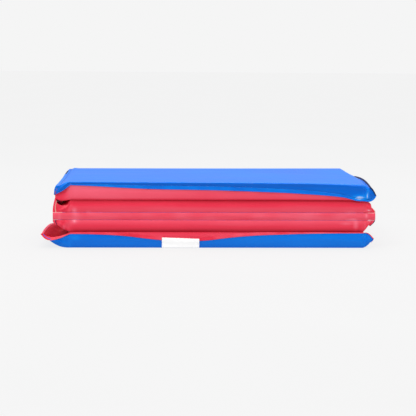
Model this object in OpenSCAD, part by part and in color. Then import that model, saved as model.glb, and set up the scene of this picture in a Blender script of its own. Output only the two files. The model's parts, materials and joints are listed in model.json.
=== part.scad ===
// Four-section folding foam mat, folded in a zigzag and lying flat.
// X runs along the folds, the front is -Y, Z is up. The origin is the middle
// of the lowest panel's underside. Panel 1 is on top and panel 4 is lowest.
// Two vinyl sheets, one blue and one red, are welded into four flat pockets,
// and each pocket holds one foam slab. The bands between the pockets are the folds.

/* [Foam slabs] */
// Length of a foam slab along the folds
foam_w = 462; // [300:5:800]
// Depth of a foam slab, from fold to fold
foam_d = 272; // [180:4:500]
// Thickness of a foam slab
foam_t = 24; // [18:1:48]

/* [Vinyl cover] */
// Thickness of one vinyl sheet
vinyl_t = 0.4; // [0.3:0.1:0.8]
// Reach of the empty side pocket past the foam, up to the weld
pocket_w = 19; // [10:1:28]
// Width of the welded edge outside the pocket
flange_w = 5.5; // [4:0.5:8]
// Drop of the free end's weld below the panel's upper face
end_seam_drop = 6.5; // [4:0.5:8]

/* [Folds] */
// Width of the fold band between its two weld lines
web_w = 12; // [8:1:20]
// Clearance between the fold band and the wall of a closed panel
web_gap = 0.4; // [0.3:0.1:1]
// Clearance between two stacked panels
stack_gap = 0.4; // [0.3:0.1:1]

/* [Label] */
// Length of the sewn-in label
label_w = 59; // [20:1:120]
// Place of the label's middle along the free end
label_x = -58; // [-80:1:80]
// Thickness of the label
label_t = 0.3; // [0.2:0.1:0.6]
// Overlap of the label on the welded edge that it is sewn to
label_lap = 3; // [1:0.5:4]
// Clearance between the label and the surface that the mat lies on
label_clear = 1; // [0.5:0.5:2]

/* [Hidden] */
PANELS = 4;
panel_t = foam_t + 2 * vinyl_t;
panel_d = foam_d + 2 * vinyl_t;
pitch = panel_t + stack_gap;
tip_x = foam_w / 2 + pocket_w;
mid_z = panel_t / 2;
web_t = 2 * vinyl_t;
// A weld line lies half a band from the plane between its two panels.
weld_near = (web_w - stack_gap) / 2;
weld_far = panel_t - weld_near;
end_weld = panel_t - end_seam_drop;
past = 1;

BLUE = [0.05, 0.38, 0.85];
RED = [0.93, 0.24, 0.34];
FOAM = [0.93, 0.92, 0.88];
WHITE = [0.97, 0.97, 0.96];

// Heights of the weld above each panel's underside, at the front and at the back.
FRONT_WELD = [end_weld, weld_near, weld_far, end_weld];
BACK_WELD = [weld_near, weld_far, weld_near, weld_far];

// Height of a panel's underside above the surface that the mat lies on.
function base_z(panel) = (PANELS - panel) * pitch;

// Height of the plane between a panel and the one below it.
function plane_z(panel) = base_z(panel) - stack_gap / 2;

// Panels 1 and 3 lie blue side up, panels 2 and 4 red side up.
function blue_up(panel) = panel % 2 == 1;

// A profile drawn in Y and Z, extruded along X about the middle.
module along_x(length) {
    translate([-length / 2, 0, 0])
        rotate([90, 0, 90])
            linear_extrude(length)
                children();
}

// A profile drawn in X and Z, extruded along Y about the middle.
module along_y(length) {
    translate([0, length / 2, 0])
        rotate([90, 0, 0])
            linear_extrude(length)
                children();
}

// Outline of the closed pocket: flat over the foam, running down to the side weld.
module pocket_outline() {
    polygon([
        [-foam_w / 2, 0], [foam_w / 2, 0],
        [tip_x, mid_z - vinyl_t], [tip_x, mid_z + vinyl_t],
        [foam_w / 2, panel_t], [-foam_w / 2, panel_t],
        [-tip_x, mid_z + vinyl_t], [-tip_x, mid_z - vinyl_t]
    ]);
}

// The space inside the pocket, one sheet's thickness in from its outline.
module pocket_space() {
    polygon([
        [-foam_w / 2, vinyl_t], [foam_w / 2, vinyl_t],
        [tip_x, mid_z],
        [foam_w / 2, panel_t - vinyl_t], [-foam_w / 2, panel_t - vinyl_t],
        [-tip_x, mid_z]
    ]);
}

// Both sheets of a pocket, before they are parted along the weld.
module pocket_shell() {
    difference() {
        along_y(panel_d) pocket_outline();
        along_y(foam_d) pocket_space();
    }
}

// Everything above the weld: its height is mid_z at the sides, and steps
// inside the front and back walls to the height of each wall's own weld.
module above_weld(panel) {
    front = FRONT_WELD[panel - 1];
    back = BACK_WELD[panel - 1];
    along_x(2 * (tip_x + past))
        polygon([
            [-panel_d / 2 - past, front], [-foam_d / 2, front],
            [-foam_d / 2, mid_z], [foam_d / 2, mid_z],
            [foam_d / 2, back], [panel_d / 2 + past, back],
            [panel_d / 2 + past, panel_t + past], [-panel_d / 2 - past, panel_t + past]
        ]);
}

// The upper sheet of one pocket, from weld to weld.
module upper_cover(panel) {
    translate([0, 0, base_z(panel)])
        intersection() {
            pocket_shell();
            above_weld(panel);
        }
}

// The lower sheet of one pocket, from weld to weld.
module lower_cover(panel) {
    translate([0, 0, base_z(panel)])
        difference() {
            pocket_shell();
            above_weld(panel);
        }
}

module blue_cover(panel) {
    color(BLUE)
        if (blue_up(panel)) upper_cover(panel);
        else lower_cover(panel);
}

module red_cover(panel) {
    color(RED)
        if (blue_up(panel)) lower_cover(panel);
        else upper_cover(panel);
}

module foam(panel) {
    color(FOAM)
        translate([-foam_w / 2, -foam_d / 2, base_z(panel) + vinyl_t])
            cube([foam_w, foam_d, foam_t]);
}

// The welded edge at one side of a pocket: side is -1 at the left, 1 at the right.
module side_seam(panel, side) {
    color(blue_up(panel) ? BLUE : RED)
        translate([side * (tip_x + flange_w / 2), 0, base_z(panel) + mid_z])
            cube([flange_w, panel_d, web_t], center = true);
}

// The welded edge across a free end, folded down against the wall.
module end_seam(panel) {
    color(blue_up(panel) ? BLUE : RED)
        translate([-foam_w / 2, -panel_d / 2 - web_t, base_z(panel) + end_weld - flange_w])
            cube([foam_w, web_t, flange_w]);
}

// One sheet of the band between a panel and the one below it: end is -1 at the
// front and 1 at the back, layer is 0 next to the wall and 1 outside.
module fold_band(panel, end, layer, colour) {
    near = panel_d / 2 + web_gap + layer * vinyl_t;
    color(colour)
        translate([0, end * (near + vinyl_t / 2), plane_z(panel)])
            cube([2 * tip_x, vinyl_t, web_w], center = true);
}

// The label hangs over the welded edge of the lowest panel's free end.
module label() {
    top = end_weld - flange_w + label_lap;
    color(WHITE)
        translate([label_x - label_w / 2, -panel_d / 2 - web_t - label_t, label_clear])
            cube([label_w, label_t, top - label_clear]);
}

foam(1);  // panel_1_foam
blue_cover(1);  // panel_1_blue_cover
red_cover(1);  // panel_1_red_cover
side_seam(1, -1);  // panel_1_left_seam
side_seam(1, 1);  // panel_1_right_seam
end_seam(1);  // panel_1_end_seam
foam(2);  // panel_2_foam
blue_cover(2);  // panel_2_blue_cover
red_cover(2);  // panel_2_red_cover
side_seam(2, -1);  // panel_2_left_seam
side_seam(2, 1);  // panel_2_right_seam
foam(3);  // panel_3_foam
blue_cover(3);  // panel_3_blue_cover
red_cover(3);  // panel_3_red_cover
side_seam(3, -1);  // panel_3_left_seam
side_seam(3, 1);  // panel_3_right_seam
foam(4);  // panel_4_foam
blue_cover(4);  // panel_4_blue_cover
red_cover(4);  // panel_4_red_cover
side_seam(4, -1);  // panel_4_left_seam
side_seam(4, 1);  // panel_4_right_seam
end_seam(4);  // panel_4_end_seam
fold_band(1, 1, 1, BLUE);  // fold_12_blue_band
fold_band(1, 1, 0, RED);  // fold_12_red_band
fold_band(2, -1, 0, BLUE);  // fold_23_blue_band
fold_band(2, -1, 1, RED);  // fold_23_red_band
fold_band(3, 1, 1, BLUE);  // fold_34_blue_band
fold_band(3, 1, 0, RED);  // fold_34_red_band
label();
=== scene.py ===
"""Looks of a four-section folding foam mat in welded two-colour vinyl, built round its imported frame."""

import json
import math

import bmesh
import bpy
from mathutils import Matrix, Vector, noise

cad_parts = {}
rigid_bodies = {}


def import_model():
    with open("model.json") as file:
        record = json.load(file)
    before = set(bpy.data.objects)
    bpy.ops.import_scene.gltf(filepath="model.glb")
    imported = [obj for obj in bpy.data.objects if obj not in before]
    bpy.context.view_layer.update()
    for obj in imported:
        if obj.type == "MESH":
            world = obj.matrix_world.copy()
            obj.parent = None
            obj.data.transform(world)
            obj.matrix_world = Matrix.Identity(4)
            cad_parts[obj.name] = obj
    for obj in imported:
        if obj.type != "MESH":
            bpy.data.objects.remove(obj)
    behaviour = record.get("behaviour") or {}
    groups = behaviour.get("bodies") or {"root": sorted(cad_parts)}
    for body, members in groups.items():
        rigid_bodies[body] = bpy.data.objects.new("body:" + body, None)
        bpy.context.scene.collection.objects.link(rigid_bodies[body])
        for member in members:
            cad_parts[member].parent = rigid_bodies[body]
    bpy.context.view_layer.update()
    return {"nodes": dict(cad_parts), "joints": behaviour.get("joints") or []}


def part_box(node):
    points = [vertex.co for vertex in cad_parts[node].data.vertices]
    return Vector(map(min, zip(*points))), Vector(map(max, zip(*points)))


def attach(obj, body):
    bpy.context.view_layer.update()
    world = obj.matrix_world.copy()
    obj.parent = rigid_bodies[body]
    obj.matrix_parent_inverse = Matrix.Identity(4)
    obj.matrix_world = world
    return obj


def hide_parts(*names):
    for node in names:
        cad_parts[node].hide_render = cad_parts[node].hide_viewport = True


bl_info = {
    "name": "Folding Mat",
    "version": (1, 0, 0),
    "blender": (4, 5, 0),
    "location": "3D View > Sidebar > Folding Mat",
    "description": "Vinyl covers, welded edges, fold bands and label of a folding foam mat",
    "category": "Object",
}

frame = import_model()

PANELS = (1, 2, 3, 4)
LEFT, RIGHT = -1, 1
FRONT, BACK = -1, 1
BLUE, RED = "blue", "red"
PLAIN = "plain"

# ---- sizes from the frame

FOAM_LOW, FOAM_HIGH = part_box("panel_4_foam")
HALF_W = FOAM_HIGH.x
HALF_D = FOAM_HIGH.y
SKIN = FOAM_LOW.z
THICK = FOAM_HIGH.z + SKIN
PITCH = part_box("panel_3_foam")[0].z - FOAM_LOW.z
WALL_Y = HALF_D + SKIN
SEAM_LOW, SEAM_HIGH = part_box("panel_4_right_seam")
FLANGE = SEAM_HIGH.x - SEAM_LOW.x
FLANGE_T = SEAM_HIGH.z - SEAM_LOW.z
LABEL_LOW, LABEL_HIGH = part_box("label")
MID = THICK / 2


def base_z(panel):
    """Height of a panel's underside."""
    return (len(PANELS) - panel) * PITCH


def sheet_colour(panel, up):
    """Colour of a panel's upper or lower sheet: panels 1 and 3 lie blue side up."""
    return BLUE if up == (panel % 2 == 1) else RED


def side_of(x):
    return LEFT if x < 0 else RIGHT


def end_of(y):
    return BACK if y > 0 else FRONT


def weld_lines():
    """{(panel, end): (y, height above the panel's underside)} of the weld at each fold, from the joints."""
    found = {}
    for joint in frame["joints"]:
        y, z = joint["pos_m"][1:]
        for body in (joint["parent"], joint["child"]):
            if body.startswith("panel_"):
                panel = int(body[-1])
                found[panel, end_of(y)] = (abs(y), z - base_z(panel))
    return found


WELDS = weld_lines()
HINGE_Y = WELDS[4, BACK][0]


# ---- what a user can change

def length(name, description, default, low, high):
    return bpy.props.FloatProperty(
        name=name, description=description, default=default, min=low, max=high, unit="LENGTH")


class MatSizes(bpy.types.PropertyGroup):
    """Shapes of the cover that the frame leaves free."""

    edge: length("Edge round", "Rounding of the cover over a foam edge", 0.0022, 0.001, 0.004)
    pressed_edge: length(
        "Pressed edge round", "Rounding where one panel is pressed on another", 0.0008, 0.0004, 0.003)
    bulge: length("Wall bulge", "How far a wall swells between its edge and its weld", 0.0022, 0, 0.003)
    puff: length("Pocket puff", "How far the empty side pocket swells", 0.0006, 0, 0.004)
    band_bulge: length("Band bulge", "How far a fold band swells between its weld lines", 0.0014, 0, 0.003)
    most_move: length(
        "Most movement", "Farthest that a point may move while the cover settles", 0.0035, 0, 0.01)
    spare: bpy.props.FloatProperty(
        name="Spare cloth", description="How much longer a sheet's loose parts are than their smooth shape",
        default=0.07, min=0, max=0.3, subtype="FACTOR")
    pressure: bpy.props.FloatProperty(
        name="Pressure", description="Air pressure that swells the loose parts outwards",
        default=0.4, min=0, max=10)
    relax: bpy.props.IntProperty(
        name="Relaxing frames", description="Length of the cloth simulation that lets the cover settle",
        default=24, min=0, max=60)


def tint(name, description, default):
    return bpy.props.FloatVectorProperty(
        name=name, description=description, default=default, subtype="COLOR", size=3)


class MatColours(bpy.types.PropertyGroup):
    """Colours of the vinyl, the foam and the label."""

    blue: tint("Blue vinyl", "Colour of the blue sheet", (0.0, 0.155, 0.72))
    # Painted shade of the blue sheet, where gaps and hollows fall dark.
    blue_shade: tint("Deep blue", "Blue sheet where it is pressed or relaxed", (0.0, 0.055, 0.42))
    # Painted highlight of the blue sheet, also the colour of its scuffs.
    blue_sheen_and_scuff: tint("Pale blue", "Blue sheet where it is drawn tight", (0.0, 0.27, 0.92))
    red: tint("Red vinyl", "Colour of the red sheet", (0.84, 0.034, 0.075))
    # Painted shade of the red sheet, where gaps and hollows fall dark.
    red_shade: tint("Deep red", "Red sheet where it is pressed or relaxed", (0.42, 0.001, 0.012))
    # Painted highlight of the red sheet, also the colour of its scuffs.
    red_sheen_and_scuff: tint("Pale red", "Red sheet where it is drawn tight", (0.95, 0.17, 0.25))
    # The weld-edge colours are partly painted light: the dark navy is painted shade, the peach a painted
    # highlight.
    blue_edge: tint("Blue weld edge", "Melted edge of the blue sheet", (0.002, 0.010, 0.07))
    red_edge: tint("Red weld edge", "Melted edge of the red sheet", (0.95, 0.42, 0.34))
    foam: tint("Foam", "Colour of the foam slabs", (0.82, 0.80, 0.74))
    label: tint("Label", "Colour of the woven label", (0.93, 0.93, 0.93))


def sizes():
    return bpy.context.scene.mat_sizes


def colours():
    return bpy.context.scene.mat_colours


# ---- shader writing

class Socket:
    """Wraps a shader socket, so that sums on values read as ordinary expressions."""

    def __init__(self, tree, out):
        self.tree = tree
        self.out = out

    def maths(self, operation, *values):
        return self.tree.add("ShaderNodeMath", {"operation": operation}, dict(enumerate(values)))

    def __add__(self, other):
        return self.maths("ADD", self, other)

    __radd__ = __add__

    def __mul__(self, other):
        return self.maths("MULTIPLY", self, other)

    def __sub__(self, other):
        return self.maths("SUBTRACT", self, other)

    def __rsub__(self, other):
        return self.maths("SUBTRACT", other, self)

    def clamp(self):
        return self.maths("MAXIMUM", self.maths("MINIMUM", self, 1.0), 0.0)


class Shader:
    """A material's node tree. add() makes a node: its settings first, then its sockets."""

    def __init__(self, owner):
        """Takes a new material's name, or a world."""
        if isinstance(owner, str):
            owner = bpy.data.materials.new(owner)
        owner.use_nodes = True
        self.material = owner
        self.nodes = owner.node_tree.nodes
        self.links = owner.node_tree.links
        self.nodes.clear()

    def add(self, kind, settings=None, inputs=None, output=0):
        node = self.nodes.new(kind)
        for key, value in (settings or {}).items():
            if key == "stops":
                self.set_stops(node, value)
            else:
                setattr(node, key, value)
        for key, value in (inputs or {}).items():
            self.feed(node.inputs[key], value)
        return Socket(self, node.outputs[output]) if node.outputs else None

    def set_stops(self, node, stops):
        ramp = node.color_ramp
        while len(ramp.elements) < len(stops):
            ramp.elements.new(0.5)
        for element, (place, colour) in zip(ramp.elements, stops):
            element.position = place
            element.color = colour

    def feed(self, socket, value):
        if isinstance(value, Socket):
            self.links.new(value.out, socket)
        else:
            socket.default_value = value

    def place(self):
        """Object coordinates, in metres."""
        return self.add("ShaderNodeTexCoord", output=3)

    def noise(self, where, scale, detail=2.0, roughness=0.5):
        return self.add("ShaderNodeTexNoise", {}, {
            "Vector": where, "Scale": scale, "Detail": detail, "Roughness": roughness})

    def mix(self, factor, first, second):
        return self.add(
            "ShaderNodeMix", {"data_type": "RGBA"}, {0: factor, 6: first, 7: second}, output=2)

    def bump(self, height, distance, strength=1.0, normal=None):
        inputs = {"Height": height, "Distance": distance, "Strength": strength}
        if normal is not None:
            inputs["Normal"] = normal
        return self.add("ShaderNodeBump", {}, inputs)

    def finish(self, **inputs):
        names = {key.replace("_", " ").title().replace("Ior", "IOR"): value for key, value in inputs.items()}
        surface = self.add("ShaderNodeBsdfPrincipled", {}, names)
        self.add("ShaderNodeOutputMaterial", {}, {"Surface": surface})
        return self.material


def rgba(colour):
    return (*colour, 1.0)


def grey(value):
    return (value, value, value, 1.0)


def shade(colour, factor):
    return rgba(min(1.0, part * factor) for part in colour)


# The vertex attribute that holds the vinyl's painted shade and painted highlights.
PAINTED_LIGHT_ATTRIBUTE = "tightness"

# The vinyl's patterns: the scale per metre, the detail and the roughness of each noise.
CLOUD, GRAIN, WAVES = (9.0, 3.0), (900.0, 2.0, 0.6), (34.0, 1.5)
SCUFFS, STREAKS = (140.0, 4.0, 0.7), (1.6, 3.0)
# The streaks run along the mat, so their noise is stretched by a scale for each axis.
STREAK_SCALES = (4.0, 26.0, 75.0)
# The share of the cloud and of the streaks in the colour.
CLOUD_SHARE, STREAK_SHARE = 0.2, 0.22
# The noise above which the vinyl is scuffed, and the pale colour's share in a scuff.
SCUFF_LEVEL, SCUFF_SHARE = 0.62, 0.10
# White's share in the brightest painted glints.
GLINT_WHITENING = 0.6
VINYL_IOR, EDGE_IOR = 1.26, 1.25


def vinyl(name, plain, shade_tone, sheen_and_scuff):
    """Glossy welded vinyl with a fine grain, coloured from painted shade through plain to painted highlights
    by a mesh attribute.
    """
    tree = Shader(name)
    painted_light = tree.add("ShaderNodeAttribute", {"attribute_name": PAINTED_LIGHT_ATTRIBUTE}, output=2)
    place = tree.place()
    cloud = tree.noise(place, *CLOUD)
    grain = tree.noise(place, *GRAIN)
    waves = tree.noise(place, *WAVES)
    scuff = tree.noise(place, *SCUFFS)
    stretched = tree.add("ShaderNodeMapping", {}, {"Vector": place, "Scale": STREAK_SCALES})
    streaks = tree.noise(stretched, *STREAKS)
    # From 0 to 1 the colour goes from painted shade to plain, to 2 on to a painted highlight, and to 3 on
    # towards a white painted glint; the streaks and the cloud move it at random.
    tight = (painted_light + (streaks - 0.5) * STREAK_SHARE + (cloud - 0.5) * CLOUD_SHARE) * 2.0
    glint_white = rgba(mixed(part, 1.0, GLINT_WHITENING) for part in sheen_and_scuff)
    tone = tree.mix(tight.clamp(), rgba(shade_tone), rgba(plain))
    tone = tree.mix((tight - 1.0).clamp(), tone, rgba(sheen_and_scuff))
    tone = tree.mix((tight - 2.0).clamp(), tone, glint_white)
    worn = (scuff - SCUFF_LEVEL) * 3.0
    # Scuffs are wear, in the pale colour that also serves the painted highlights.
    tone = tree.mix(worn.clamp() * SCUFF_SHARE, tone, rgba(sheen_and_scuff))
    fine = tree.bump(grain, 0.00006, 0.35)
    slow = tree.bump(waves, 0.0009, 0.25, fine)
    drawn = tree.bump(streaks, 0.0016, 0.35, slow)
    matte = (1.0 - tight * 2.0).clamp() * 0.6
    return tree.finish(
        base_color=tone, roughness=0.22 + cloud * 0.10 + grain * 0.06 + matte,
        normal=drawn, ior=VINYL_IOR)


def weld_edge_with_painted_light(name, colour):
    """The trimmed edge of a weld, with fine beads; its colour is partly painted light: darker on blue as
    painted shade, paler on red as a painted highlight.
    """
    tree = Shader(name)
    place = tree.place()
    beads = tree.noise(place, 420.0, 2.0)
    tone = tree.mix(beads, shade(colour, 0.75), shade(colour, 1.2))
    return tree.finish(
        base_color=tone, roughness=0.45 + beads * 0.15,
        normal=tree.bump(beads, 0.0002, 0.5), ior=EDGE_IOR)


def foam_material():
    """Closed-cell foam: small round cells under a matte skin."""
    tree = Shader("foam")
    place = tree.place()
    cells = tree.add("ShaderNodeTexVoronoi", {}, {"Vector": place, "Scale": 700.0})
    cloud = tree.noise(place, 25.0, 3.0)
    base = colours().foam
    tone = tree.mix(cloud, shade(base, 0.9), shade(base, 1.06))
    return tree.finish(
        base_color=tone, roughness=0.85 + cloud * 0.1, normal=tree.bump(cells, 0.0004, 0.6))


def label_material():
    """Tightly woven white label tape."""
    tree = Shader("label_tape")
    place = tree.place()
    warp = tree.add("ShaderNodeTexWave", {"bands_direction": "X"}, {"Vector": place, "Scale": 900.0})
    weft = tree.add("ShaderNodeTexWave", {"bands_direction": "Z"}, {"Vector": place, "Scale": 900.0})
    weave = (warp + weft) * 0.5
    cloud = tree.noise(place, 60.0, 3.0)
    base = colours().label
    tone = tree.mix(cloud, shade(base, 0.97), shade(base, 1.04))
    # The label glows a little, as painted light that brightens its white.
    return tree.finish(
        base_color=tone, roughness=0.7 + weave * 0.15, normal=tree.bump(weave, 0.00008, 0.5),
        emission_color=grey(1.0), emission_strength=0.14)


def make_materials():
    """{name: material} of every finish, made once."""
    chosen = colours()
    return {
        BLUE: vinyl("blue_vinyl", chosen.blue, chosen.blue_shade, chosen.blue_sheen_and_scuff),
        RED: vinyl("red_vinyl", chosen.red, chosen.red_shade, chosen.red_sheen_and_scuff),
        "blue_edge": weld_edge_with_painted_light("blue_weld_edge", chosen.blue_edge),
        "red_edge": weld_edge_with_painted_light("red_weld_edge", chosen.red_edge),
        "foam": foam_material(),
        "label": label_material(),
    }


FINISHES = {}


def material(name):
    """One finish by name, made with the others the first time."""
    if not FINISHES:
        FINISHES.update(make_materials())
    return FINISHES[name]


# ---- small helpers

def smooth(value):
    """0 below 0, 1 above 1, and an even curve between."""
    value = max(0.0, min(1.0, value))
    return value * value * (3 - 2 * value)


def hump(value):
    """0 at 0 and 1, 1 in the middle."""
    return math.sin(math.pi * max(0.0, min(1.0, value)))


def mixed(first, second, share):
    return first + (second - first) * share


def bell(distance):
    """1 at no distance, falling away evenly on both sides."""
    return math.exp(-distance ** 2)


def shares(parts):
    """Evenly spaced places from 0 to 1."""
    return [i / parts for i in range(parts + 1)]


def wander(seed, x, y=0.0, scale=1.0):
    """Slow noise from -1 to 1 that is the same on every run."""
    return noise.noise(Vector((x * scale + seed * 7.31, y * scale - seed * 3.17, seed * 1.93)))


def link(obj):
    bpy.context.scene.collection.objects.link(obj)
    return obj


def new_object(name, mesh, finishes=()):
    """An object with the shape built in a bmesh, which this frees."""
    data = bpy.data.meshes.new(name)
    mesh.to_mesh(data)
    mesh.free()
    for finish in finishes:
        data.materials.append(material(finish))
    data.shade_smooth()
    return link(bpy.data.objects.new(name, data))


def paint_light(obj, amount):
    """Stores the painted light: 0 is painted shade, 0.5 plain, 1 a painted highlight and more a nearly white
    painted glint.
    """
    layer = obj.data.attributes.new(PAINTED_LIGHT_ATTRIBUTE, "FLOAT", "POINT")
    for vertex in obj.data.vertices:
        layer.data[vertex.index].value = amount(vertex.co)


def border_of(data):
    """The vertices on a mesh's open edge."""
    counts = {}
    for polygon in data.polygons:
        for key in polygon.edge_keys:
            counts[key] = counts.get(key, 0) + 1
    return {index for key, count in counts.items() if count == 1 for index in key}


def thicken(obj, thickness, offset, inner=0, rim=0):
    solid = obj.modifiers.new("thickness", "SOLIDIFY")
    solid.thickness = thickness
    solid.offset = offset
    solid.material_offset = inner
    solid.material_offset_rim = rim
    return solid


def subdivide(obj):
    surf = obj.modifiers.new("smooth", "SUBSURF")
    surf.levels = surf.render_levels = 1
    surf.boundary_smooth = "PRESERVE_CORNERS"


# ---- lines that the sewing set by hand

def through(stops, place):
    """The value at a place on a smooth line through (place, value...) stops, as a number or a Vector."""
    places = [stop[0] for stop in stops]
    values = [Vector(stop[1:]) if len(stop) > 2 else stop[1] for stop in stops]
    if place <= places[0]:
        return values[0]
    if place >= places[-1]:
        return values[-1]
    last = len(stops) - 1
    i = max(k for k in range(last) if places[k] <= place)

    def slope(k):
        low, high = max(k - 1, 0), min(k + 1, last)
        return (values[high] - values[low]) / (places[high] - places[low])

    width = places[i + 1] - places[i]
    t = (place - places[i]) / width
    return (values[i] * (1 + 2 * t) * (1 - t) ** 2 + slope(i) * width * t * (1 - t) ** 2
            + values[i + 1] * t * t * (3 - 2 * t) - slope(i + 1) * width * t * t * (1 - t))


def metres(table):
    """A table of stops: the places are kept, and the values go from millimetres to metres."""
    return {
        key: tuple((place, *(value / 1000 for value in values)) for place, *values in stops)
        for key, stops in table.items()}


# Height of the hem of a free end's folded-down flange, by place across the mat in metres.
HEMS = metres({
    1: ((-0.231, 23), (-0.20, 22.2), (-0.153, 19.7), (-0.105, 17.6), (-0.014, 16.1), (0.052, 14.2),
        (0.131, 10.8), (0.194, 5.8), (0.231, -0.6)),
    4: ((-0.231, 22.8), (-0.153, 19.7), (-0.105, 14.2), (-0.075, 11.8), (-0.02, 11.8), (0.012, 15.7),
        (0.052, 19.4), (0.131, 23.2), (0.231, 24)),
})
# Width of that flange, which narrows where the weld is drawn up to the edge.
HEM_WIDTHS = metres({
    1: ((-0.231, 1.8), (-0.15, 4.5), (-0.08, 6), (0.14, 6), (0.231, 3.4)),
    4: ((-0.231, 2), (-0.14, 4.5), (-0.09, 5.5), (0.05, 5), (0.14, 2.2), (0.231, 1.2)),
})

# Each side weld from front (-1) to back (1): reach past the foam, and height in the panel.
SIDE_LINES = metres({
    (1, LEFT): ((-1, 17.5, 22.5), (-0.5, 16, 21.2), (0, 15, 20.8), (0.5, 13.2, 22), (1, 10.5, 24)),
    (1, RIGHT): ((-1, 8.5, 20), (-0.7, 12.5, 18.8), (-0.35, 14, 20), (0, 14.5, 19.6), (0.5, 14.5, 17),
                 (1, 13, 12)),
    (2, LEFT): ((-1, 21.5, 21.5), (-0.6, 20.5, 19), (0, 18.5, 13.5), (1, 18, 14)),
    (2, RIGHT): ((-1, 12.6, 12.8), (-0.7, 11.5, 13), (0, 13.5, 12), (1, 13, 14)),
    (3, LEFT): ((-1, 20.5, 11), (0, 16.5, 12), (1, 17, 10)),
    (3, RIGHT): ((-1, 8.5, 11.5), (-0.7, 10, 12.5), (0, 14, 13), (1, 13, 11)),
    (4, LEFT): ((-1, 42, 21.5), (-0.6, 41, 21.5), (-0.1, 37, 20), (0.4, 24, 15), (1, 18, 14.5)),
    (4, RIGHT): ((-1, 11.8, 10), (-0.7, 10.5, 11), (0, 13.5, 12), (1, 13, 14)),
})
SIDE_REACH = {LEFT: 0.0220, RIGHT: 0.0135}

# How far the upper and the lower sheet's side slope stands out halfway: outwards, and upwards, in metres.
KNEES = {
    (1, LEFT): ((0, 0.0012), (0.0142, -0.0092)),
    (1, RIGHT): ((0, 0.0008), (0.004, -0.0035)),
    (2, LEFT): ((0, -0.007), (0.002, -0.0012)),
    (2, RIGHT): ((0.0042, 0.0026), (0.001, -0.0008)),
    (3, LEFT): ((0.0012, 0.001), (0.001, -0.001)),
    (3, RIGHT): ((0.0012, 0.001), (0.0006, -0.0006)),
    (4, LEFT): ((0, -0.012), (0.002, -0.0064)),
    (4, RIGHT): ((0.001, 0.001), (0.0014, -0.0016)),
}

# The weld across a free end's ear: reach past the foam and height, from the foam's corner to the tip.
EAR_WELDS = metres({
    (1, LEFT): ((0, 0, 25.2), (0.5, 11.5, 15.6), (1, 24.2, 8.8)),
    (1, RIGHT): ((0, 0, 2.8), (0.5, 9.5, 1.5), (0.8, 15.5, 4), (1, 17.8, 8)),
    (4, LEFT): ((0, 0, 24.2), (0.35, 16.5, 18.6), (0.68, 30.5, 16), (0.86, 38, 17.8), (1, 42.5, 21.2)),
    (4, RIGHT): ((0, 0, 25), (0.5, 9, 22.5), (1, 16.5, 14.5)),
})
# The flange along that weld, as a step outwards, forwards and upwards, from the corner to the tip.
EAR_FLANGES = metres({
    (1, LEFT): ((0, 0.2, 0.8, -1.8), (1, 1.4, 0.6, -1.2)),
    (1, RIGHT): ((0, 0.2, 0.8, -3.2), (0.5, 0.8, 0.6, -3), (1, 2.8, 0.2, -0.4)),
    (4, LEFT): ((0, 0.2, 1, -1.8), (0.45, 0, 2.4, -3.6), (0.8, 2.2, 2.2, -4.2), (1, 3.4, 1, -0.8)),
    (4, RIGHT): ((0, 0.1, 0.4, 1), (1, 1.4, 0.2, 0.4)),
})
# The flange along each side weld, as a step outwards and upwards, from front (-1) to back (1).
SIDE_FLANGES = metres({
    PLAIN: ((-1, 3, -0.2), (-0.8, 5.2, -0.8), (0, 5.3, -1.2), (0.8, 5.2, -0.8), (1, 3, -0.2)),
    (1, LEFT): ((-1, 4.8, 0.2), (0, 5.4, -0.2), (0.8, 5, 0), (1, 3.6, 0)),
    (1, RIGHT): ((-1, 2.6, 2.2), (-0.6, 3, 2.8), (0, 3.4, 3), (0.5, 4.6, 2.2), (1, 5.4, 0)),
    (2, LEFT): ((-1, 1.4, 10.5), (-0.7, 3, 6), (-0.3, 5, -0.2), (1, 4, -0.4)),
    (2, RIGHT): ((-1, 2.8, -0.2), (-0.7, 3.4, -0.8), (0, 5.3, -1.2), (1, 4, -0.2)),
    (3, RIGHT): ((-1, 2.8, -1.8), (-0.7, 3.4, -1.2), (0, 5.3, -1.2), (1, 4, -0.2)),
    (4, RIGHT): ((-1, 1.4, -1.2), (-0.7, 3, -1), (0, 5.3, -1.2), (1, 4, -0.2)),
    (4, LEFT): ((-1, 3, 1), (0, 3.6, 1.4), (0.5, 5.2, 0.2), (1, 5.4, -0.8)),
})

# How far each kind of wall swells, by height in the panel, as a share of the wall bulge.
UPPER_WALL = ((0.0058, 0.75), (0.01, 1.1), (0.016, 0.95), (0.021, 0.5), (0.0248, 0))
LOWER_WALL = ((0, 0), (0.0035, 0.55), (0.009, 1.05), (0.015, 1), (0.019, 0.75))
FREE_WALLS = {
    1: ((0, 0.6), (0.002, 0.95), (0.008, 1.1), (0.016, 0.8), (0.0225, 0.6), (0.0285, 0.9)),
    4: ((0, 0.1), (0.003, 0.5), (0.012, 0.9), (0.02, 0.75), (0.0225, 0.5), (0.0248, 0.2)),
}


def swelling(panel, end, height):
    """How far the wall that shows stands out at a height in the panel."""
    if (panel, end) not in WELDS:
        line = FREE_WALLS[panel]
    else:
        line = UPPER_WALL if WELDS[panel, end][1] < MID else LOWER_WALL
    return sizes().bulge * through(line, height)


def front_weld(panel, x):
    """Height of the weld above the panel's underside, across a free end."""
    corner = EAR_WELDS[panel, side_of(x)][0][2]
    line = through(HEMS[panel], x) + through(HEM_WIDTHS[panel], x)
    return mixed(min(line, THICK + 0.0003), corner, smooth((abs(x) - HALF_W + 0.03) / 0.03))


# ---- the pockets

def past_foam(side, reach, y, height):
    return Vector((side * (HALF_W + reach), y, height))


# How far the top panel's cover stands above the foam, with nothing on it: at the front and at the back.
FRONT_RISE = ((-0.231, 0.0042), (0, 0.0038), (0.15, 0.003), (0.205, 0.0014), (0.231, 0.0004))
BACK_RISE = ((-0.231, 0.0006), (0, 0.001), (0.231, 0.0019))


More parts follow.
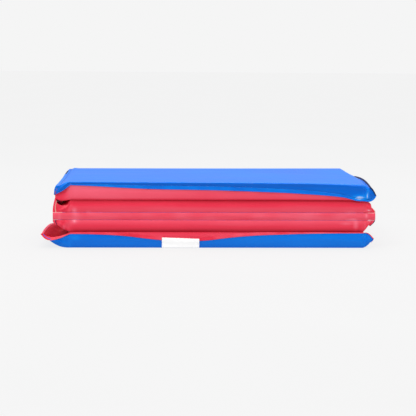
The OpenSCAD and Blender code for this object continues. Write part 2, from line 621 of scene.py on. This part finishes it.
def top_rise(panel, x, y):
    if panel != 1:
        return 0.0
    return mixed(through(FRONT_RISE, x), through(BACK_RISE, x), smooth(0.5 + y / (2 * HALF_D)))


def seam_point(panel, side, y):
    """A point on the side weld, in the panel's own height."""
    share = y / WALL_Y
    reach, height = through(SIDE_LINES[panel, side], share)
    seed = panel * 2 + (side + 1) // 2
    still = hump((share + 1) / 2)
    reach += 0.0009 * still * wander(seed + 9, y, 0, 13)
    height += 0.0011 * still * wander(seed, y, 0, 11)
    return past_foam(side, reach, y, height)


def ear_weld(panel, side, end, out):
    """A point on the weld across an ear: out is 0 at the foam's corner and 1 at the tip."""
    if (panel, end) in WELDS:
        y, height = WELDS[panel, end]
        return past_foam(side, SIDE_REACH[side] * out, end * y, height)
    reach, height = through(EAR_WELDS[panel, side], out)
    start = swelling(panel, end, EAR_WELDS[panel, side][0][2])
    return past_foam(side, reach, end * (WALL_Y + start * (1 - out) - 0.0016 * out * out), height)


def ear_rim(panel, side, end, down):
    """A point on the side weld where it bends down the ear, from the shoulder to the tip."""
    shoulder = seam_point(panel, side, end * WALL_Y)
    tip = ear_weld(panel, side, end, 1.0)
    point = mixed(shoulder, tip, down)
    point.x += side * 0.0012 * hump(down)
    return point


def steps(stops):
    """Places along a line: each stop is (place, parts from the stop before it)."""
    places = [stops[0][0]]
    for (start, _), (stop, parts) in zip(stops, stops[1:]):
        places += [mixed(start, stop, (i + 1) / parts) for i in range(parts)]
    return places


def both_ways(positive):
    return [-place for place in reversed(positive[1:])] + positive


def edge_round(panel, up):
    """Rounding over the foam's edge: soft where the panel is free, tight where it is pressed on another."""
    return sizes().edge if panel == 1 and up else sizes().pressed_edge


def column_places(edge):
    """Columns across the sheet: the foam part in metres, and past it 1 is the edge and 2 the weld."""
    half = steps([(0.0, 0), (HALF_W - 0.05, 20), (HALF_W - edge, 9), (HALF_W, 1)])
    return both_ways(half + steps([(1.0, 0), (1.10, 1), (2.0, 8)])[1:])


def row_places(edge):
    """Rows along the sheet: the foam part in metres, and past it 1 is the edge and 2 the weld."""
    half = steps([(0.0, 0), (HALF_D - 0.036, 9), (HALF_D - edge, 8), (HALF_D, 1)])
    return both_ways(half + steps([(1.0, 0), (1 + edge / 0.017, 1), (2.0, 7)])[1:])


def split_place(place, half):
    """(the foam part, how far past the foam it is from 0 to 1, the sign) of a column or row.

    The foam part is in metres and well below 1, so 1 and more can only lie past the foam.
    """
    sign = -1 if place < 0 else 1
    size = abs(place)
    if size > 0.99:
        return sign * half, size - 1, sign
    return place, 0.0, sign


# Height of the slow crown and the ripples over the foam, and how far from its edge they die away.
CROWN, RIPPLE, CROWN_RUN = 0.00025, 0.00012, 0.02
# Depth of the waves along a wall, and the height over which a fold's weld pinches the wall in.
WALL_WAVE, WELD_PINCH = 0.0007, 0.0022
# An ear's outer ply: how far it swells, the depth of the crease at the foam's corner and of the pleats.
EAR_PUFF, EAR_CREASE, EAR_PLEAT = 0.0018, 0.0024, 0.0010
# How far an ear's inner ply lies behind the outer one.
EAR_TUCK = 0.0022


class Ply:
    """One sheet of a pocket: maps the flat sheet's rows and columns to the wrapped shape."""

    def __init__(self, panel, up):
        self.panel = panel
        self.up = up
        self.sign = 1 if up else -1
        self.seed = panel * 2 + up

    def face(self, x, y):
        return THICK + top_rise(self.panel, x, y) if self.up else 0.0

    def weld_height(self, end, x):
        if (self.panel, end) in WELDS:
            return WELDS[self.panel, end][1]
        return front_weld(self.panel, x)

    def weld_y(self, end, x):
        if (self.panel, end) in WELDS:
            return WELDS[self.panel, end][0]
        return WALL_Y + swelling(self.panel, end, front_weld(self.panel, x))

    def shows(self, end):
        """Whether this ply's wall is the one that shows, and not the one behind the fold band."""
        if (self.panel, end) not in WELDS:
            return True
        return abs((THICK if self.up else 0.0) - WELDS[self.panel, end][1]) > MID

    def in_front(self, end, side):
        """Whether this ply's part of an ear lies in front of the other ply's."""
        if (self.panel, end) in WELDS:
            return self.shows(end)
        return self.up == (self.panel == 1)

    def face_point(self, x, y):
        crown = CROWN * wander(self.seed, x, y, 14) + RIPPLE * wander(self.seed + 5, x, y, 45)
        inside = min(1.0, (HALF_W - abs(x)) / CROWN_RUN, (HALF_D - abs(y)) / CROWN_RUN)
        return Vector((x, y, self.face(x, y) + self.sign * crown * max(0.0, inside)))

    def wall_point(self, x, end, down):
        """A point on the wall below the foam part of a column: down is 0 at the edge, 1 at the weld."""
        face = self.face(x, end * HALF_D)
        weld = self.weld_height(end, x)
        height = mixed(face, weld, down)
        y = mixed(WALL_Y, self.weld_y(end, x), down)
        if self.shows(end):
            clear = 1.0
            if (self.panel, end) in WELDS:
                clear = smooth((1 - down) * abs(face - weld) / WELD_PINCH)
            swollen = WALL_Y + swelling(self.panel, end, height)
            swollen += WALL_WAVE * hump(down) * wander(self.seed + 11, x, 3 * down, 18)
            y = mixed(self.weld_y(end, x), swollen, clear)
        return Vector((x, end * y, height))

    def slope_point(self, y, side, out):
        """A point on the sloping side of the pocket."""
        start = Vector((side * HALF_W, y, self.face(side * HALF_W, y)))
        point = mixed(start, seam_point(self.panel, side, y), out)
        outwards, upwards = KNEES[self.panel, side][0 if self.up else 1]
        bend = 4 * out * (1 - out)
        swell = sizes().puff * wander(self.seed + 3 * side, y, out, 30) * bend
        point.x += side * (outwards * bend + swell * 0.5)
        point.z += upwards * bend + self.sign * swell
        return point

    def ear_point(self, end, side, out, down):
        """A point on the ear, between the wall, the slope, the side weld and the end weld."""
        corner = self.wall_point(side * HALF_W, end, down)
        rim = ear_rim(self.panel, side, end, down)
        start = self.wall_point(side * HALF_W, end, 0)
        slope = self.slope_point(end * WALL_Y, side, out)
        slope.y += (start.y - end * WALL_Y) * (1 - out)
        weld = ear_weld(self.panel, side, end, out)
        corners = mixed(
            mixed(start, ear_rim(self.panel, side, end, 0), out),
            mixed(self.wall_point(side * HALF_W, end, 1), ear_rim(self.panel, side, end, 1), out), down)
        point = mixed(corner, rim, out) + mixed(slope, weld, down) - corners
        inside = hump(out) * hump(down)
        if not self.in_front(end, side):
            point.y -= end * (EAR_TUCK * math.sqrt(inside) + 0.0005 * min(1.0, out * 5))
            return point
        crease = bell((out - 0.12) / 0.08)
        pleat = math.sin((down * 1.9 - out * 1.3 + 0.37 * self.seed) * math.pi * 2)
        point.y += end * (EAR_PUFF * inside - EAR_CREASE * crease * hump(down) + EAR_PLEAT * pleat * inside)
        return point

    def point(self, column, row):
        x, out, side = split_place(column, HALF_W)
        y, down, end = split_place(row, HALF_D)
        if not out and not down:
            place = self.face_point(x, y)
        elif not out:
            place = self.wall_point(x, end, down)
        elif not down:
            place = self.slope_point(y, side, out)
        else:
            place = self.ear_point(end, side, out, down)
        return place + Vector((0, 0, base_z(self.panel)))


# The level with no painted light: the plain colour.
PLAIN_LEVEL = 0.5
# Painted light on each wall, by height in the panel; the welded walls darken into painted shade towards the
# gaps between panels.
UPPER_PAINTED_LIGHT = ((0.0058, 0.64), (0.012, 0.6), (0.017, 0.5), (0.021, 0.36), (0.0248, 0.05))
LOWER_PAINTED_LIGHT = ((0, 0), (0.0025, 0.12), (0.006, 0.42), (0.012, 0.58), (0.019, 0.72))
FREE_PAINTED_LIGHT = {
    (1, RED): ((0, 0.25), (0.002, 0.52), (0.01, 0.66), (0.02, 0.78), (0.026, 0.8)),
    (1, BLUE): ((0.004, 0.5), (0.016, 0.36), (0.024, 0.3), (0.0265, 0.36), (0.029, 0.55)),
    (4, RED): ((0.01, 0.6), (0.02, 0.6), (0.0248, 0.5)),
    (4, BLUE): ((0, 0.4), (0.004, 0.52), (0.014, 0.6), (0.022, 0.66)),
}

# Painted highlights at the front, standing for glints on creases and folds: x, z, half width and half height
# in mm, and amount.
PAINTED_GLINTS = (
    (-224, 59, 2.8, 4, 0.5), (-220, 51, 3.5, 4, 0.4), (-224.5, 42.5, 3.8, 2.8, 0.6),
    (-202, 55.5, 1.8, 2.8, 0.35), (-247, 48, 1.2, 8, 0.35), (-242, 30, 1.4, 6, 0.4),
    (213, 45.5, 6, 1.4, 0.7), (219.5, 37.5, 2.2, 8, 0.35), (204, 39, 8, 2, 0.25), (210, 56, 8, 3, 0.22),
    (240, 60.5, 3.5, 1, 0.9), (240.5, 44, 3, 1, 0.9), (236, 52, 2, 4, 0.45), (224.5, 80.5, 9, 3.6, 1),
    (237, 85, 1.6, 6.5, 0.9), (168, 92, 3, 2.2, 0.4), (-223, 16, 6, 3, 0.35), (-240, 17, 8, 2.5, 0.2),
)


def painted_glint(at):
    """How much painted highlight a point at the front gets."""
    if at.y > -HALF_D:
        return 0.0
    return sum(
        amount * bell(math.hypot((at.x * 1000 - x) / wide, (at.z * 1000 - z) / high))
        for x, z, wide, high, amount in PAINTED_GLINTS)


# Sheets in the shade of a hollow: deep and matte past the foam.
SHADED = {(4, RED, LEFT), (2, RED, LEFT)}


def tightness(panel, colour, at):
    """The painted light of a cover at a point, from painted shade to painted highlight."""
    height = at.z - base_z(panel)
    end = end_of(at.y)
    if (panel, end) not in WELDS:
        wall = through(FREE_PAINTED_LIGHT[panel, colour], height)
        # On the free ends, a painted highlight on the red and painted shade on the blue towards the left.
        wall += (0.10 if colour == RED else -0.06) * smooth((-at.x - 0.05) / 0.18)
    else:
        wall = through(UPPER_PAINTED_LIGHT if WELDS[panel, end][1] < MID else LOWER_PAINTED_LIGHT, height)
    past = (abs(at.x) - HALF_W) / 0.012
    # A painted highlight where the sheet bends round the foam's corner.
    corner = bell((past - 0.1) / 0.25) * (0.6 + 0.6 * wander(panel, at.x, height, 90))
    ear = PLAIN_LEVEL + 0.35 * corner
    ear += 0.22 * wander(panel + 3, at.x * 2, height, 120)
    on_wall = smooth((abs(at.y) - HALF_D) / 0.0006)
    flat = PLAIN_LEVEL
    if (panel, colour, side_of(at.x)) in SHADED:
        flat = mixed(PLAIN_LEVEL, 0.02, smooth(past * 3))
    return mixed(flat, mixed(wall, mixed(wall, ear, 0.7), smooth(past + 0.5)), on_wall) + painted_glint(at)


def lay_out(columns, rows, place, flip):
    """A bmesh with a flat grid whose vertices are moved to place(column, row)."""
    mesh = bmesh.new()
    bmesh.ops.create_grid(mesh, x_segments=len(columns) - 1, y_segments=len(rows) - 1, size=0.5)
    uv = mesh.loops.layers.uv.verify()
    flat = {}
    for vertex in mesh.verts:
        column = columns[round((vertex.co.x + 0.5) * (len(columns) - 1))]
        row = rows[round((vertex.co.y + 0.5) * (len(rows) - 1))]
        flat[vertex] = (column, row)
        vertex.co = place(column, row)
    for face in mesh.faces:
        for loop in face.loops:
            loop[uv].uv = flat[loop.vert]
    if flip:
        bmesh.ops.reverse_faces(mesh, faces=mesh.faces[:])
    return mesh


def make_cover(panel, up):
    """One sheet of a pocket, wrapped round its foam slab."""
    colour = sheet_colour(panel, up)
    ply = Ply(panel, up)
    edge = edge_round(panel, up)
    mesh = lay_out(column_places(edge), row_places(edge), ply.point, flip=not up)
    return new_object(f"cover_{panel}_{colour}", mesh, [colour])


# The share of its thickness that a cover keeps at its welds.
RIM_THICKNESS = 0.05


def finish_cover(obj, panel, up):
    """Adds the cover's colouring, smoothing and thickness, hangs it on its panel and hides the frame's cover
    that it stands for.
    """
    colour = sheet_colour(panel, up)
    paint_light(obj, lambda at: tightness(panel, colour, at))
    body = obj.vertex_groups.new(name="body")
    border = border_of(obj.data)
    body.add([v.index for v in obj.data.vertices if v.index not in border], 1.0, "REPLACE")
    subdivide(obj)
    solid = thicken(obj, SKIN * 0.8, -1)
    solid.vertex_group = body.name
    solid.thickness_vertex_group = RIM_THICKNESS
    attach(obj, f"panel_{panel}")
    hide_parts(f"panel_{panel}_{colour}_cover")


SIM_SCALE = 10


def looseness(panel, at):
    """How loose the sheet is at a point: 0 over the foam, most in the ears and side pockets."""
    height = at.z - base_z(panel)
    past_side = smooth((abs(at.x) - HALF_W - 0.0005) / 0.008)
    near_side = smooth((abs(at.x) - HALF_W + 0.055) / 0.055)
    on_wall = smooth((abs(at.y) - WALL_Y) / 0.0008) * smooth((min(height, THICK - height) - 0.001) / 0.002)
    free = (panel, end_of(at.y)) not in WELDS
    return min(1.0, 0.75 * past_side + on_wall * (0.0 if free else 0.18 + 0.5 * near_side))


def start_settling(obj, panel):
    """Adds the cloth simulation that lets a cover's loose parts buckle, ten times as big as life."""
    border = border_of(obj.data)
    held = obj.vertex_groups.new(name="held")
    loose = obj.vertex_groups.new(name="loose")
    for vertex in obj.data.vertices:
        amount = looseness(panel, vertex.co)
        held.add([vertex.index], 1.0 if vertex.index in border or amount < 0.02 else 0.0, "REPLACE")
        loose.add([vertex.index], amount, "REPLACE")
    obj.data.transform(Matrix.Scale(SIM_SCALE, 4))
    cloth = obj.modifiers.new("settle", "CLOTH")
    how = cloth.settings
    how.quality = 8
    how.mass = 0.4
    how.tension_stiffness = how.compression_stiffness = 40
    how.shear_stiffness = 12
    how.bending_stiffness = 0.6
    how.tension_damping = how.compression_damping = how.shear_damping = 20
    how.air_damping = 3
    how.vertex_group_mass = "held"
    how.pin_stiffness = 1.0
    how.vertex_group_shrink = "loose"
    how.shrink_min = 0.0
    how.shrink_max = -sizes().spare
    how.use_pressure = True
    how.uniform_pressure_force = sizes().pressure
    how.effector_weights.gravity = 0.0
    cloth.collision_settings.use_collision = False
    cloth.point_cache.frame_end = sizes().relax + 1


def stop_settling(obj, before):
    """Applies the settled shape, with a limit on how far any point has moved, at its real size again."""
    graph = bpy.context.evaluated_depsgraph_get()
    settled = [vertex.co.copy() for vertex in obj.evaluated_get(graph).data.vertices]
    obj.modifiers.remove(obj.modifiers["settle"])
    obj.data.transform(Matrix.Scale(1 / SIM_SCALE, 4))
    for vertex, place, start in zip(obj.data.vertices, settled, before):
        moved = place / SIM_SCALE - start
        if moved.length > sizes().most_move:
            moved *= sizes().most_move / moved.length
        vertex.co = start + moved
    obj.vertex_groups.clear()


# ---- welded edges

# Parts across a weld, and parts of a side weld from a shoulder down to the tip.
STRIP_ROWS = 4
EAR_PARTS = 6


def strip(name, parts, place, finishes, thickness, flip, edge_painted=None):
    """A flat strip laid out by place(along, across), with its thickness to both sides.

    Its finishes are those of its upper side, its lower side and its rim. Faces that the given test picks
    have the rim's finish too, which carries painted shade on blue and a painted highlight on red.
    """
    mesh = lay_out(shares(parts), shares(STRIP_ROWS), place, flip=flip)
    if edge_painted:
        uv = mesh.loops.layers.uv.verify()
        for face in mesh.faces:
            middle = sum((loop[uv].uv for loop in face.loops), Vector((0, 0))) / len(face.loops)
            if edge_painted(middle.x, middle.y):
                face.material_index = len(finishes) - 1
    obj = new_object(name, mesh, finishes)
    # Tone that differs at random, plus the painted highlights at the front.
    paint_light(obj, lambda at: 0.54 + 0.2 * wander(len(name), at.x + at.z, at.y, 60) + painted_glint(at))
    subdivide(obj)
    thicken(obj, thickness, 0, inner=1, rim=2)
    return obj


# Where a side weld shows the weld edge's colour, partly painted shade on blue and a painted highlight on
# red: from and to along it, front to back, and from and to across it. The lowest panel's left weld has none.
EDGE_PAINT_SPANS = {
    PLAIN: (0, 1, 0.8, 1),
    (1, LEFT): (0.62, 0.72, 0.5, 1),
    (1, RIGHT): (0, 1, 0.25, 1),
    (2, LEFT): (0, 0.3, 0, 0.3),
    (3, LEFT): (0, 0.3, 0, 0.3),
    (2, RIGHT): (0, 0.3, 0.75, 1),
    (3, RIGHT): (0, 0.3, 0.75, 1),
    (4, LEFT): (0, 0, 0, 0),
}
# Side welds that the upper sheet wraps round, so that both faces have its colour.
WRAPPED = {(4, LEFT)}


def make_side_seam(panel, side):
    """The welded edge at one side of a panel, round the ears at both ends."""
    lift = Vector((0, 0, base_z(panel)))
    flanges = SIDE_FLANGES.get((panel, side), SIDE_FLANGES[PLAIN])
    inner, outer = [], []

    def add(point, step):
        inner.append(point + lift)
        outer.append(point + lift + step)

    def side_step(share):
        outwards, upwards = through(flanges, share)
        return Vector((side * outwards, 0, upwards))

    for end in (FRONT, BACK):
        line = shares(EAR_PARTS)
        shoulder = side_step(end)
        if (panel, end) in WELDS:
            tip = Vector((side * FLANGE, 0, 0))
        else:
            outwards, forwards, upwards = through(EAR_FLANGES[panel, side], 1.0)
            tip = Vector((side * outwards, end * forwards, upwards))
        for down in (reversed(line) if end == FRONT else line):
            add(ear_rim(panel, side, end, down), mixed(shoulder, tip, smooth(down)))
        if end == FRONT:
            for row in row_places(sizes().edge):
                if abs(row) < HALF_D:
                    add(seam_point(panel, side, row), side_step(row / WALL_Y))
    last = len(inner) - 1

    def place(along, across):
        index = round(along * last)
        return mixed(inner[index], outer[index], across)

    low, high, first, final = EDGE_PAINT_SPANS.get((panel, side), EDGE_PAINT_SPANS[PLAIN])
    top, under = sheet_colour(panel, True), sheet_colour(panel, False)
    if (panel, side) in WRAPPED:
        under = top
    where = "left" if side == LEFT else "right"
    obj = strip(
        f"side_weld_{panel}_{where}", last, place, [top, under, f"{top}_edge"], FLANGE_T * 0.6,
        flip=side == RIGHT,
        edge_painted=lambda along, across: low <= along <= high and first <= across <= final)
    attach(obj, f"panel_{panel}")
    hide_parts(f"panel_{panel}_{where}_seam")


# The least height of a weld that the fall of its flange is measured by.
LOWEST_WELD = 0.004
# How far an ear's flange stands in front of the sheet, and laps it at the tip as a share of its width.
EAR_CLEAR = 0.0006
END_LAP = 0.15


def make_end_seam(panel):
    """The welded flange across a free end, folded down on the wall below it."""
    upper, lower = Ply(panel, True), Ply(panel, False)
    lift = Vector((0, 0, base_z(panel)))
    columns = column_places(sizes().edge)

    def flat_place(x, across):
        weld = upper.wall_point(x, FRONT, 1.0)
        drop = through(HEM_WIDTHS[panel], x) * across
        on_wall = lower.wall_point(x, FRONT, 1 - drop / max(weld.z, LOWEST_WELD))
        lip = FLANGE_T * (0.1 + 0.6 * across)
        return Vector((x, min(weld.y, on_wall.y) - lip, weld.z - drop))

    def place(along, across):
        x, out, side = split_place(columns[round(along * (len(columns) - 1))], HALF_W)
        if not out:
            return flat_place(x, across) + lift
        outwards, forwards, upwards = through(EAR_FLANGES[panel, side], out)
        lap = END_LAP * smooth(out * 2 - 0.6)
        reach = mixed(-lap, 1.0, across)
        free = ear_weld(panel, side, FRONT, out) + Vector((side * outwards, -forwards, upwards)) * reach
        free.y -= EAR_CLEAR
        hanging = flat_place(x, across) - flat_place(x, 0) + ear_weld(panel, side, FRONT, out)
        return mixed(hanging, free, smooth(out * 4)) + lift

    colour = sheet_colour(panel, True)
    obj = strip(
        f"end_weld_{panel}", len(columns) - 1, place,
        [colour, colour, f"{colour}_edge"], FLANGE_T * 0.7, flip=True)
    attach(obj, f"panel_{panel}")
    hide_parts(f"panel_{panel}_end_seam")


# ---- fold bands

# The panel above each fold, the fold's end of the mat and the colour of its outer sheet.
FOLDS = {"12": (1, BACK, BLUE), "23": (2, FRONT, RED), "34": (3, BACK, BLUE)}
# How far a band's outer sheet stops short of a weld line, the same where the side welds pass,
# and how far the inner sheet does.
BAND_CLEAR, BAND_END_CLEAR, INNER_CLEAR = 0.0002, 0.0003, 0.0012


def make_band(fold, colour):
    """One sheet of a fold band, from weld line to weld line."""
    above, end, outer_colour = FOLDS[fold]
    shows = colour == outer_colour
    high = WELDS[above, end][1] + base_z(above)
    low = WELDS[above + 1, end][1] + base_z(above + 1)
    left, right = (HALF_W + SIDE_REACH[side] + FLANGE for side in (LEFT, RIGHT))
    columns = steps([(-left, 0), (-HALF_W, 8), (HALF_W, 60), (right, 8)])
    gap = FLANGE_T / 4
    seed = int(fold)

    def clear(x):
        if not shows:
            return INNER_CLEAR
        return mixed(BAND_CLEAR, BAND_END_CLEAR, smooth((abs(x) - HALF_W - 0.005) / 0.004))

    def place(x, share):
        swell = 0.0
        if shows:
            swell = sizes().band_bulge * hump(share) * (1 + 0.5 * wander(seed, x, share, 16))
        y = HINGE_Y + (gap if shows else -gap) + swell
        return Vector((x, end * y, mixed(low + clear(x), high - clear(x), share)))

    mesh = lay_out(columns, shares(6), place, flip=(end == FRONT) != shows)
    obj = new_object(f"fold_band_{fold}_{colour}", mesh, [colour])
    # Both band sheets are painted paler than plain as a painted highlight, with the painted glints at the
    # front.
    paint_light(obj, lambda at: 0.68 + 0.15 * wander(seed + 2, at.x, at.z, 40) + painted_glint(at))
    subdivide(obj)
    thicken(obj, SKIN * 0.7, -1)
    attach(obj, f"fold_{fold}")
    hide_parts(f"fold_{fold}_{colour}_band")
    high - low


# ---- label

# How much lower the label's upper edge is at the right than at the left.
LABEL_SLANT = 0.0022


def make_label_piece():
    """The blank label: hangs over the welded edge, clear of the floor."""
    width = LABEL_HIGH.x - LABEL_LOW.x

    def place(across, up):
        x = LABEL_LOW.x + across * width
        top = LABEL_HIGH.z + 0.0012 - LABEL_SLANT * across
        z = mixed(LABEL_LOW.z - 0.0004, top, up)
        flange = smooth((up - 0.35) / 0.3)
        y = LABEL_LOW.y - 0.0016 - 0.0016 * flange + 0.0004 * hump(up) * math.cos(across * 5)
        return Vector((x, y, z))

    mesh = lay_out(shares(16), shares(6), place, flip=False)
    obj = new_object("care_label", mesh, ["label"])
    subdivide(obj)
    thicken(obj, 0.0003, 0)
    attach(obj, "panel_4")
    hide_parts("label")


# ---- operators

class MAT_OT_covers(bpy.types.Operator):
    """Wrap the blue and red sheets round every foam slab"""

    bl_idname = "mat.covers"
    bl_label = "Covers"

    def execute(self, context):
        made = [(make_cover(panel, up), panel, up) for panel in PANELS for up in (True, False)]
        if sizes().relax:
            before = [[vertex.co.copy() for vertex in obj.data.vertices] for obj, _, _ in made]
            for obj, panel, _ in made:
                start_settling(obj, panel)
            for frame_number in range(1, sizes().relax + 2):
                context.scene.frame_set(frame_number)
            for (obj, _, _), places in zip(made, before):
                stop_settling(obj, places)
            context.scene.frame_set(1)
        for obj, panel, up in made:
            finish_cover(obj, panel, up)
        return {"FINISHED"}


class MAT_OT_side_seams(bpy.types.Operator):
    """Make the welded edges at the left and right of every panel"""

    bl_idname = "mat.side_seams"
    bl_label = "Side welds"

    def execute(self, context):
        for panel in PANELS:
            for side in (LEFT, RIGHT):
                make_side_seam(panel, side)
        return {"FINISHED"}


class MAT_OT_end_seams(bpy.types.Operator):
    """Make the welded edges that hang down the two free ends"""

    bl_idname = "mat.end_seams"
    bl_label = "End welds"

    def execute(self, context):
        for panel in (PANELS[0], PANELS[-1]):
            make_end_seam(panel)
        return {"FINISHED"}


class MAT_OT_bands(bpy.types.Operator):
    """Make both sheets of the three fold bands"""

    bl_idname = "mat.bands"
    bl_label = "Fold bands"

    def execute(self, context):
        for fold in FOLDS:
            for colour in (BLUE, RED):
                make_band(fold, colour)
        return {"FINISHED"}


class MAT_OT_label(bpy.types.Operator):
    """Make the blank label on the lowest panel's free end"""

    bl_idname = "mat.label"
    bl_label = "Label"

    def execute(self, context):
        make_label_piece()
        return {"FINISHED"}


class MAT_OT_foam(bpy.types.Operator):
    """Give the foam slabs their finish"""

    bl_idname = "mat.foam"
    bl_label = "Foam"

    def execute(self, context):
        for panel in PANELS:
            node = frame["nodes"][f"panel_{panel}_foam"]
            node.data.materials.clear()
            node.data.materials.append(material("foam"))
        return {"FINISHED"}


# The studio's lights: place, width, height and watts. They all face the middle of the mat.
LIGHTS = {
    "key": ((-0.7, -1.0, 1.7), 0.35, 0.35, 9),
    "top": ((0.2, 0.2, 2.0), 1.6, 1.0, 24),
    "left": ((-1.7, -1.5, 0.6), 0.3, 0.5, 2.4),
    "right": ((1.5, -1.8, 0.5), 0.2, 0.5, 1.8),
}
LIT_PLACE = Vector((0, 0, 0.05))
# The camera: its place, its turn to the left or right, tilt and roll in degrees, and its lens in mm.
CAMERA_PLACE = (-0.119, -2.365, 0.327)
CAMERA_TURN, CAMERA_TILT, CAMERA_ROLL = -2.67, 90 - 6.74, 0.45
CAMERA_LENS = 123.5
BACKDROP = 0.913


def area_light(name, place, width, height, power):
    data = bpy.data.lights.new(name, "AREA")
    data.shape = "RECTANGLE"
    data.size = width
    data.size_y = height
    data.energy = power
    light = link(bpy.data.objects.new(name, data))
    light.location = place
    light.rotation_euler = (LIT_PLACE - Vector(place)).to_track_quat("-Z", "Y").to_euler()


class MAT_OT_stage(bpy.types.Operator):
    """Set the floor, the lights and the camera"""

    bl_idname = "mat.stage"
    bl_label = "Stage"

    def execute(self, context):
        self.make_floor()
        self.make_lights(context.scene)
        self.make_camera(context.scene)
        return {"FINISHED"}

    def make_floor(self):
        mesh = bmesh.new()
        bmesh.ops.create_grid(mesh, x_segments=1, y_segments=1, size=12)
        floor = new_object("floor", mesh)
        tree = Shader("floor")
        place = tree.place()
        cloud = tree.noise(place, 3.0)
        tone = tree.mix(cloud, grey(0.055), grey(0.065))
        floor.data.materials.append(tree.finish(
            base_color=tone, roughness=0.9, specular_ior_level=0.1,
            emission_color=grey(1.0), emission_strength=0.80))

    def make_lights(self, scene):
        world = bpy.data.worlds.new("studio")
        scene.world = world
        tree = Shader(world)
        where = tree.add("ShaderNodeTexCoord")
        height = tree.add("ShaderNodeSeparateXYZ", {}, {0: where}, output=2)
        room = tree.add("ShaderNodeValToRGB", {"stops": (
            (0.0, grey(0.20)), (0.25, (0.22, 0.22, 0.23, 1)),
            (0.5, (0.70, 0.70, 0.71, 1)), (0.9, grey(1.7)))}, {0: height})
        behind = tree.add("ShaderNodeSeparateXYZ", {}, {0: where}, output=1)
        room = tree.mix(behind.clamp() * 0.3, room, grey(0.85))
        seen = tree.add("ShaderNodeLightPath")
        sky = tree.mix(seen, room, grey(BACKDROP))
        surface = tree.add("ShaderNodeBackground", {}, {"Color": sky, "Strength": 1.0})
        tree.add("ShaderNodeOutputWorld", {}, {"Surface": surface})
        for name, light in LIGHTS.items():
            area_light(name, *light)

    def make_camera(self, scene):
        data = bpy.data.cameras.new("camera")
        data.lens = CAMERA_LENS
        data.sensor_width = 36
        data.clip_end = 50
        camera = link(bpy.data.objects.new("camera", data))
        camera.location = CAMERA_PLACE
        turned = Matrix.Rotation(math.radians(CAMERA_TURN), 4, "Z")
        tilted = Matrix.Rotation(math.radians(CAMERA_TILT), 4, "X")
        rolled = Matrix.Rotation(math.radians(CAMERA_ROLL), 4, "Z")
        camera.rotation_euler = (turned @ tilted @ rolled).to_euler()
        scene.camera = camera
        scene.view_settings.view_transform = "Standard"


class MAT_PT_panel(bpy.types.Panel):
    """Steps and settings of the folding mat"""

    bl_idname = "MAT_PT_panel"
    bl_label = "Folding Mat"
    bl_space_type = "VIEW_3D"
    bl_region_type = "UI"
    bl_category = "Folding Mat"

    def draw(self, context):
        for group in (context.scene.mat_sizes, context.scene.mat_colours):
            for name in group.bl_rna.properties.keys():
                if name not in ("rna_type", "name"):
                    self.layout.prop(group, name)
        for step in STEPS:
            self.layout.operator(step.bl_idname)


STEPS = (
    MAT_OT_stage, MAT_OT_foam, MAT_OT_covers, MAT_OT_side_seams, MAT_OT_end_seams,
    MAT_OT_bands, MAT_OT_label)
CLASSES = (MatSizes, MatColours, *STEPS, MAT_PT_panel)


def register():
    for cls in CLASSES:
        bpy.utils.register_class(cls)
    bpy.types.Scene.mat_sizes = bpy.props.PointerProperty(type=MatSizes)
    bpy.types.Scene.mat_colours = bpy.props.PointerProperty(type=MatColours)


def unregister():
    del bpy.types.Scene.mat_colours
    del bpy.types.Scene.mat_sizes
    for cls in reversed(CLASSES):
        bpy.utils.unregister_class(cls)


def main():
    register()
    for step in STEPS:
        group, name = step.bl_idname.split(".")
        getattr(getattr(bpy.ops, group), name)()


if __name__ == "__main__":
    main()
